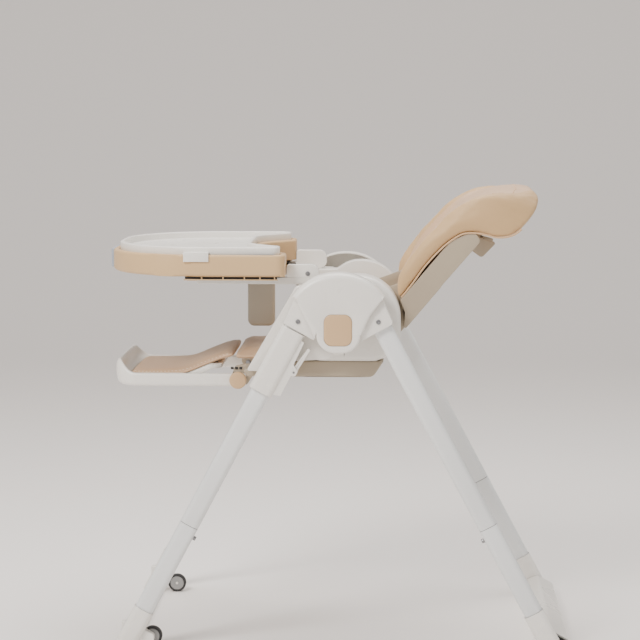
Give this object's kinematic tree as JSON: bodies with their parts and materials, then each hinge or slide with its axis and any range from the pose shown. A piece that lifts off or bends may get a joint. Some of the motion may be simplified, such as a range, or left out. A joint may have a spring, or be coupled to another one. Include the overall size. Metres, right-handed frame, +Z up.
{
  "type": "baby high chair",
  "caption": "Folding high chair with A-frame tube legs, sliding seat, reclining backrest, tilting leg rest and a removable tray on side arms.",
  "frame": {"origin": "middle of the footprint on the floor", "axes": "+Z up, the sitter faces -Y, +X is the sitter's left"},
  "size_m": [0.592, 0.974, 0.9629],
  "materials": {
    "white_paint": "satin white powder coat",
    "white_plastic": "satin white",
    "shell_plastic": "fine matte, pale grey",
    "beige_plastic": "satin beige",
    "button_beige": "satin beige",
    "blue_grey": "satin grey-blue",
    "taupe_plastic": "satin taupe",
    "leatherette": "soft beige leatherette",
    "steel": "zinc plated",
    "rubber": "matte black",
    "grey_plastic": "satin grey",
    "webbing": "woven webbing"
  },
  "bodies": {
    "front_frame": {"front_leg_upper_left": "white_paint", "front_leg_upper_right": "white_paint", "front_leg_lower_left": "white_paint", "front_leg_lower_right": "white_paint", "front_snap_pins": "steel", "front_bracket_left": "white_plastic", "front_bracket_right": "white_plastic", "front_bracket_screws": "steel", "pivot_bolts": "steel", "hub_cover_left": "white_plastic", "hub_cover_right": "white_plastic", "front_foot_left": "white_plastic", "front_foot_right": "white_plastic", "front_cross_bar": "white_paint"},
    "rear_frame": {"rear_leg_upper_left": "white_paint", "rear_leg_upper_right": "white_paint", "rear_leg_lower_left": "white_paint", "rear_leg_lower_right": "white_paint", "rear_snap_pins": "steel", "rear_bracket_left": "white_plastic", "rear_bracket_right": "white_plastic", "rear_bracket_screws": "steel", "rear_foot_left": "white_plastic", "rear_foot_right": "white_plastic", "rear_cross_bar": "white_plastic", "floor_pads": "rubber"},
    "fold_button_left": {"fold_button_left": "button_beige"},
    "fold_button_right": {"fold_button_right": "button_beige"},
    "wheel_left": {"front_wheel_left": "grey_plastic", "front_tyre_left": "rubber"},
    "wheel_right": {"front_wheel_right": "grey_plastic", "front_tyre_right": "rubber"},
    "seat": {"seat_shell": "shell_plastic", "armrest_left": "shell_plastic", "armrest_right": "shell_plastic", "seat_bracket_left": "white_plastic", "seat_bracket_right": "white_plastic", "seat_cushion": "leatherette", "tray_arm_left": "shell_plastic", "tray_arm_right": "shell_plastic", "side_fasteners": "steel", "back_pins": "steel", "lap_straps": "webbing", "harness_buckle": "grey_plastic"},
    "height_lever_left": {"height_lever_left": "white_plastic"},
    "height_lever_right": {"height_lever_right": "white_plastic"},
    "backrest": {"back_shell": "shell_plastic", "back_cushion": "leatherette", "shoulder_straps": "webbing"},
    "recline_handle": {"recline_handle": "shell_plastic"},
    "leg_rest": {"leg_rest_frame": "white_plastic", "calf_board": "white_plastic", "leg_rest_pad": "leatherette", "leg_rest_pins": "steel"},
    "leg_rest_cap_left": {"leg_rest_cap_left": "button_beige"},
    "leg_rest_cap_right": {"leg_rest_cap_right": "button_beige"},
    "tray": {"tray_base": "beige_plastic", "crotch_post": "taupe_plastic"},
    "tray_top": {"tray_top": "white_plastic"},
    "tray_release": {"tray_release": "blue_grey"}
  },
  "joints": [
    {"name": "frame_fold", "type": "hinge", "parent": "front_frame", "child": "rear_frame", "pos_m": [0, 0.013, 0.674], "axis": [-1, 0, 0], "range_deg": [0, 54]},
    {"name": "seat_height", "type": "slide", "parent": "front_frame", "child": "seat", "axis": [0, -0.4695, -0.8829], "range_m": [0, 0.21]},
    {"name": "back_recline", "type": "hinge", "parent": "seat", "child": "backrest", "pos_m": [0, 0.171, 0.745], "axis": [1, 0, 0], "range_deg": [0, 30]},
    {"name": "recline_squeeze", "type": "slide", "parent": "backrest", "child": "recline_handle", "axis": [0, 0.6428, 0.766], "range_m": [0, 0.006], "stiffness_N_per_m": 900, "springref_m": -0.002},
    {"name": "leg_rest_tilt", "type": "hinge", "parent": "seat", "child": "leg_rest", "pos_m": [0, -0.202, 0.552], "axis": [1, 0, 0], "range_deg": [0, 48]},
    {"name": "tray_slide", "type": "slide", "parent": "seat", "child": "tray", "axis": [0, -1, 0], "range_m": [0, 0.2]},
    {"name": "tray_top_lift", "type": "slide", "parent": "tray", "child": "tray_top", "axis": [0, 0, 1], "range_m": [0, 0.06]},
    {"name": "tray_release_pull", "type": "slide", "parent": "tray", "child": "tray_release", "axis": [0, -1, 0], "range_m": [0, 0.005], "stiffness_N_per_m": 600, "springref_m": -0.002},
    {"name": "fold_button_left_press", "type": "slide", "parent": "front_frame", "child": "fold_button_left", "axis": [-1, 0, 0], "range_m": [0, 0.005], "stiffness_N_per_m": 800, "springref_m": -0.002},
    {"name": "wheel_left_spin", "type": "hinge", "parent": "front_frame", "child": "wheel_left", "pos_m": [0.235, -0.378, 0.0205], "axis": [1, 0, 0], "continuous": true},
    {"name": "height_lever_left_squeeze", "type": "hinge", "parent": "seat", "child": "height_lever_left", "pos_m": [0.262, -0.07827, 0.58435], "axis": [1, 0, 0], "range_deg": [0, 7], "stiffness_Nm_per_rad": 0.6, "springref_deg": -5.73},
    {"name": "leg_rest_cap_left_press", "type": "slide", "parent": "leg_rest", "child": "leg_rest_cap_left", "axis": [-1, 0, 0], "range_m": [0, 0.0035], "stiffness_N_per_m": 500, "springref_m": -0.002},
    {"name": "fold_button_right_press", "type": "slide", "parent": "front_frame", "child": "fold_button_right", "axis": [1, 0, 0], "range_m": [0, 0.005], "stiffness_N_per_m": 800, "springref_m": -0.002},
    {"name": "wheel_right_spin", "type": "hinge", "parent": "front_frame", "child": "wheel_right", "pos_m": [-0.235, -0.378, 0.0205], "axis": [1, 0, 0], "continuous": true},
    {"name": "height_lever_right_squeeze", "type": "hinge", "parent": "seat", "child": "height_lever_right", "pos_m": [-0.262, -0.07827, 0.58435], "axis": [1, 0, 0], "range_deg": [0, 7], "stiffness_Nm_per_rad": 0.6, "springref_deg": -5.73},
    {"name": "leg_rest_cap_right_press", "type": "slide", "parent": "leg_rest", "child": "leg_rest_cap_right", "axis": [1, 0, 0], "range_m": [0, 0.0035], "stiffness_N_per_m": 500, "springref_m": -0.002}
  ]
}
